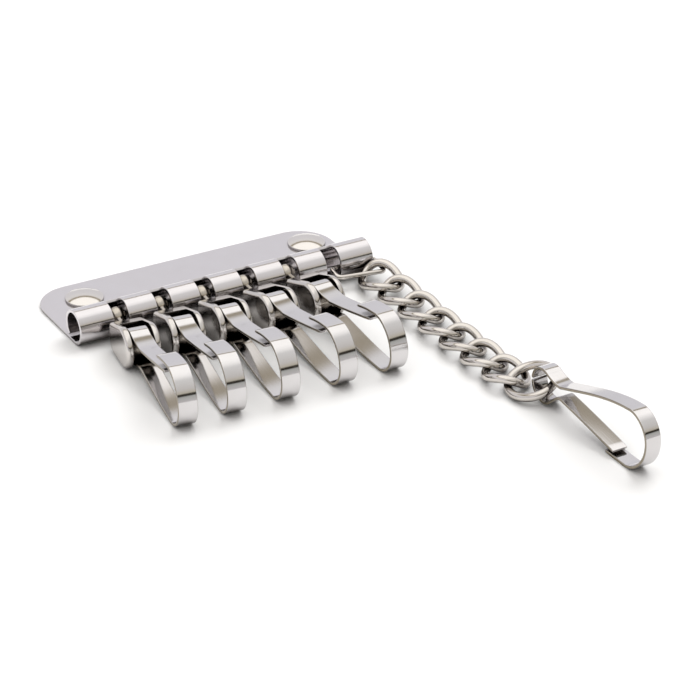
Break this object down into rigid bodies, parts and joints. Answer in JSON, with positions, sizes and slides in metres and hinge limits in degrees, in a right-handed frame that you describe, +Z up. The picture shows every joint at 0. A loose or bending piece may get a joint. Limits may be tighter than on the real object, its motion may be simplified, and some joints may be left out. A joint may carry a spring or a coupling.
{
  "type": "key organiser",
  "caption": "Key-case hardware: a flat plate rolled into a slotted barrel that carries swivel snap hooks, with a curb chain and an end snap.",
  "frame": {"origin": "middle of the plate's flat underside, on the surface it lies on", "axes": "+X along the barrel towards the chain, +Y from the barrel towards the plate's rear edge, +Z up"},
  "size_m": [0.0664, 0.1108, 0.0116],
  "materials": {
    "satin_nickel_plate": "satin, faint lengthwise brushing",
    "nickel_rivet_cap": "bright",
    "bright_nickel_spring_strip": "bright",
    "nickel_chain_wire": "bright",
    "nickel_clevis_sheet": "bright",
    "nickel_turned_steel": "bright"
  },
  "bodies": {
    "plate": {"back_plate": "satin_nickel_plate", "rivet_cap_left": "nickel_rivet_cap", "rivet_cap_right": "nickel_rivet_cap"},
    "post_1": {"swivel_post_1": "nickel_turned_steel"},
    "fork_1": {"clevis_1": "nickel_clevis_sheet", "hinge_pin_1": "nickel_turned_steel"},
    "hook_1": {"hook_loop_1": "bright_nickel_spring_strip"},
    "gate_1": {"hook_gate_1": "bright_nickel_spring_strip"},
    "post_2": {"swivel_post_2": "nickel_turned_steel"},
    "fork_2": {"clevis_2": "nickel_clevis_sheet", "hinge_pin_2": "nickel_turned_steel"},
    "hook_2": {"hook_loop_2": "bright_nickel_spring_strip"},
    "gate_2": {"hook_gate_2": "bright_nickel_spring_strip"},
    "post_3": {"swivel_post_3": "nickel_turned_steel"},
    "fork_3": {"clevis_3": "nickel_clevis_sheet", "hinge_pin_3": "nickel_turned_steel"},
    "hook_3": {"hook_loop_3": "bright_nickel_spring_strip"},
    "gate_3": {"hook_gate_3": "bright_nickel_spring_strip"},
    "post_4": {"swivel_post_4": "nickel_turned_steel"},
    "fork_4": {"clevis_4": "nickel_clevis_sheet", "hinge_pin_4": "nickel_turned_steel"},
    "hook_4": {"hook_loop_4": "bright_nickel_spring_strip"},
    "gate_4": {"hook_gate_4": "bright_nickel_spring_strip"},
    "post_5": {"swivel_post_5": "nickel_turned_steel"},
    "fork_5": {"clevis_5": "nickel_clevis_sheet", "hinge_pin_5": "nickel_turned_steel"},
    "hook_5": {"hook_loop_5": "bright_nickel_spring_strip"},
    "gate_5": {"hook_gate_5": "bright_nickel_spring_strip"},
    "connector": {"chain_connector": "nickel_chain_wire"},
    "link_1": {"chain_link_1": "nickel_chain_wire"},
    "link_2": {"chain_link_2": "nickel_chain_wire"},
    "link_3": {"chain_link_3": "nickel_chain_wire"},
    "link_4": {"chain_link_4": "nickel_chain_wire"},
    "link_5": {"chain_link_5": "nickel_chain_wire"},
    "link_6": {"chain_link_6": "nickel_chain_wire"},
    "link_7": {"chain_link_7": "nickel_chain_wire"},
    "end_ring": {"chain_end_ring": "nickel_chain_wire"},
    "end_snap": {"end_snap_loop": "bright_nickel_spring_strip"},
    "end_snap_gate": {"end_snap_gate": "bright_nickel_spring_strip"}
  },
  "joints": [
    {"name": "swing_1", "type": "hinge", "parent": "plate", "child": "post_1", "pos_m": [-0.02145, -0.0101, 0.0033], "axis": [1, 0, 0], "range_deg": [-100, 55]},
    {"name": "swivel_1", "type": "hinge", "parent": "post_1", "child": "fork_1", "pos_m": [-0.02217, -0.01565, 0.0033], "axis": [-0.1288, -0.9917, 0], "range_deg": [-12, 12]},
    {"name": "pivot_1", "type": "hinge", "parent": "fork_1", "child": "hook_1", "pos_m": [-0.02307, -0.0226, 0.0038], "axis": [0.9917, -0.1288, 0], "range_deg": [-90, 85]},
    {"name": "gate_1", "type": "hinge", "parent": "hook_1", "child": "gate_1", "pos_m": [-0.02307, -0.0226, 0.0038], "axis": [0.9917, -0.1288, 0], "range_deg": [0, 8], "stiffness_Nm_per_rad": 0.12},
    {"name": "swing_2", "type": "hinge", "parent": "plate", "child": "post_2", "pos_m": [-0.0129, -0.0101, 0.0033], "axis": [1, 0, 0], "range_deg": [-100, 55]},
    {"name": "swivel_2", "type": "hinge", "parent": "post_2", "child": "fork_2", "pos_m": [-0.0135, -0.01567, 0.0033], "axis": [-0.108, -0.9942, 0], "range_deg": [-12, 12]},
    {"name": "pivot_2", "type": "hinge", "parent": "fork_2", "child": "hook_2", "pos_m": [-0.01426, -0.02263, 0.0038], "axis": [0.9942, -0.108, 0], "range_deg": [-90, 85]},
    {"name": "gate_2", "type": "hinge", "parent": "hook_2", "child": "gate_2", "pos_m": [-0.01426, -0.02263, 0.0038], "axis": [0.9942, -0.108, 0], "range_deg": [0, 8], "stiffness_Nm_per_rad": 0.12},
    {"name": "swing_3", "type": "hinge", "parent": "plate", "child": "post_3", "pos_m": [-0.00425, -0.0101, 0.0033], "axis": [1, 0, 0], "range_deg": [-100, 55]},
    {"name": "swivel_3", "type": "hinge", "parent": "post_3", "child": "fork_3", "pos_m": [-0.0046, -0.01569, 0.0033], "axis": [-0.0628, -0.998, 0], "range_deg": [-12, 12]},
    {"name": "pivot_3", "type": "hinge", "parent": "fork_3", "child": "hook_3", "pos_m": [-0.00504, -0.02268, 0.0038], "axis": [0.998, -0.0628, 0], "range_deg": [-90, 85]},
    {"name": "gate_3", "type": "hinge", "parent": "hook_3", "child": "gate_3", "pos_m": [-0.00504, -0.02268, 0.0038], "axis": [0.998, -0.0628, 0], "range_deg": [0, 8], "stiffness_Nm_per_rad": 0.12},
    {"name": "swing_4", "type": "hinge", "parent": "plate", "child": "post_4", "pos_m": [0.00435, -0.0101, 0.0033], "axis": [1, 0, 0], "range_deg": [-100, 55]},
    {"name": "swivel_4", "type": "hinge", "parent": "post_4", "child": "fork_4", "pos_m": [0.0044, -0.0157, 0.0033], "axis": [0.0087, -1, 0], "range_deg": [-12, 12]},
    {"name": "pivot_4", "type": "hinge", "parent": "fork_4", "child": "hook_4", "pos_m": [0.00446, -0.0227, 0.0038], "axis": [1, 0.0087, 0], "range_deg": [-90, 85]},
    {"name": "gate_4", "type": "hinge", "parent": "hook_4", "child": "gate_4", "pos_m": [0.00446, -0.0227, 0.0038], "axis": [1, 0.0087, 0], "range_deg": [0, 8], "stiffness_Nm_per_rad": 0.12},
    {"name": "swing_5", "type": "hinge", "parent": "plate", "child": "post_5", "pos_m": [0.01315, -0.0101, 0.0033], "axis": [1, 0, 0], "range_deg": [-100, 55]},
    {"name": "swivel_5", "type": "hinge", "parent": "post_5", "child": "fork_5", "pos_m": [0.01339, -0.0157, 0.0033], "axis": [0.0436, -0.999, 0], "range_deg": [-12, 12]},
    {"name": "pivot_5", "type": "hinge", "parent": "fork_5", "child": "hook_5", "pos_m": [0.0137, -0.02269, 0.0038], "axis": [0.999, 0.0436, 0], "range_deg": [-90, 85]},
    {"name": "gate_5", "type": "hinge", "parent": "hook_5", "child": "gate_5", "pos_m": [0.0137, -0.02269, 0.0038], "axis": [0.999, 0.0436, 0], "range_deg": [0, 8], "stiffness_Nm_per_rad": 0.12},
    {"name": "connector_swing", "type": "hinge", "parent": "plate", "child": "connector", "pos_m": [0.02625, -0.0101, 0.0033], "axis": [1, 0, 0], "range_deg": [-40, 40]},
    {"name": "link_1_turn", "type": "hinge", "parent": "connector", "child": "link_1", "pos_m": [0.0283, -0.01612, 0.00245], "axis": [1, 0, 0], "range_deg": [-7, 20]},
    {"name": "link_2_turn", "type": "hinge", "parent": "link_1", "child": "link_2", "pos_m": [0.02865, -0.02216, 0.00227], "axis": [0, 0, 1], "range_deg": [-12, 12]},
    {"name": "link_3_turn", "type": "hinge", "parent": "link_2", "child": "link_3", "pos_m": [0.02896, -0.02906, 0.00212], "axis": [0.9966, 0.043, 0.0697], "range_deg": [-12, 12]},
    {"name": "link_4_turn", "type": "hinge", "parent": "link_3", "child": "link_4", "pos_m": [0.02927, -0.03596, 0.00196], "axis": [0, 0, 1], "range_deg": [-12, 12]},
    {"name": "link_5_turn", "type": "hinge", "parent": "link_4", "child": "link_5", "pos_m": [0.02958, -0.04286, 0.00185], "axis": [0.999, 0.0447, 0], "range_deg": [-12, 12]},
    {"name": "link_6_turn", "type": "hinge", "parent": "link_5", "child": "link_6", "pos_m": [0.02989, -0.04976, 0.00182], "axis": [0, 0, 1], "range_deg": [-12, 12]},
    {"name": "link_7_turn", "type": "hinge", "parent": "link_6", "child": "link_7", "pos_m": [0.03019, -0.05667, 0.00182], "axis": [0.999, 0.0447, 0], "range_deg": [-12, 12]},
    {"name": "ring_turn", "type": "hinge", "parent": "link_7", "child": "end_ring", "pos_m": [0.03054, -0.06452, 0.00182], "axis": [0.8652, 0.0387, -0.5], "range_deg": [-5, 10]},
    {"name": "end_snap_pivot", "type": "hinge", "parent": "end_ring", "child": "end_snap", "pos_m": [0.0331, -0.07, 0.00375], "axis": [0.9995, 0.0332, 0], "range_deg": [-60, 40]},
    {"name": "end_snap_gate_flex", "type": "hinge", "parent": "end_snap", "child": "end_snap_gate", "pos_m": [0.0331, -0.07, 0.00375], "axis": [-0.9995, -0.0332, 0], "range_deg": [0, 8], "stiffness_Nm_per_rad": 0.12}
  ]
}
